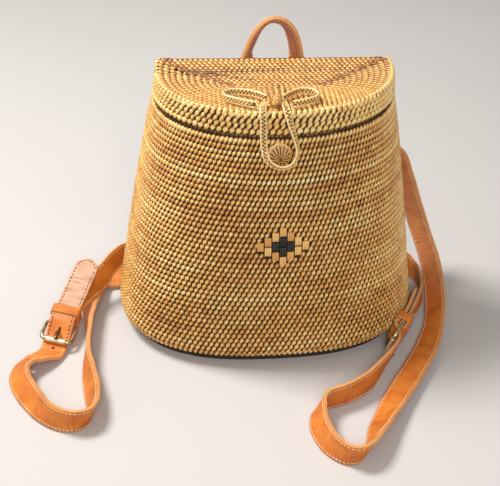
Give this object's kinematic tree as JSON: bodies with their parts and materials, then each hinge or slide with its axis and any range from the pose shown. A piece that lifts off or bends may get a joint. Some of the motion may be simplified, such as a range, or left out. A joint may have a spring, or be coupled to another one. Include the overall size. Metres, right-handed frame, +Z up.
{
  "type": "woven straw backpack",
  "caption": "Small stiff woven straw backpack with a flap lid closed by a loop over a button, a leather carrying handle and buckled leather shoulder straps.",
  "frame": {"origin": "middle of the flat underside of the recessed base board, on the surface the bag stands on", "axes": "+Z up, the bag's front with the button faces -Y, its flat back panel faces +Y, +X to the right of someone looking at the front"},
  "size_m": [0.4186, 0.3521, 0.2828],
  "materials": {
    "straw": "woven golden straw, matte with a slight sheen",
    "straw_light": "plaited pale straw, satin",
    "board": "dark stained board, matte",
    "leather": "orange tan leather with soft wrinkles, satin",
    "brass": "pale antique brass, worn satin"
  },
  "bodies": {
    "basket": {"basket_body": "straw", "base_board": "board", "hinge_cane": "straw", "button": "straw_light", "top_handle": "leather", "long_strap_left": "leather", "long_strap_right": "leather", "short_strap_left": "leather", "short_strap_right": "leather", "buckle_frame_left": "brass", "buckle_frame_right": "brass", "prong_left": "brass", "prong_right": "brass", "keeper_left": "leather", "keeper_right": "leather", "back_patch": "leather", "rivet_handle_left": "brass", "rivet_handle_right": "brass", "rivet_long_left": "brass", "rivet_long_right": "brass", "rivet_short_left": "brass", "rivet_short_right": "brass"},
    "flap": {"lid": "straw", "bow_left": "straw_light", "bow_right": "straw_light", "closure_loop": "straw_light", "closure_knot": "straw"}
  },
  "joints": [
    {"name": "lid_hinge", "type": "hinge", "parent": "basket", "child": "flap", "pos_m": [0.0073, 0.0728, 0.2428], "axis": [-1, 0, 0], "range_deg": [0, 90]}
  ]
}
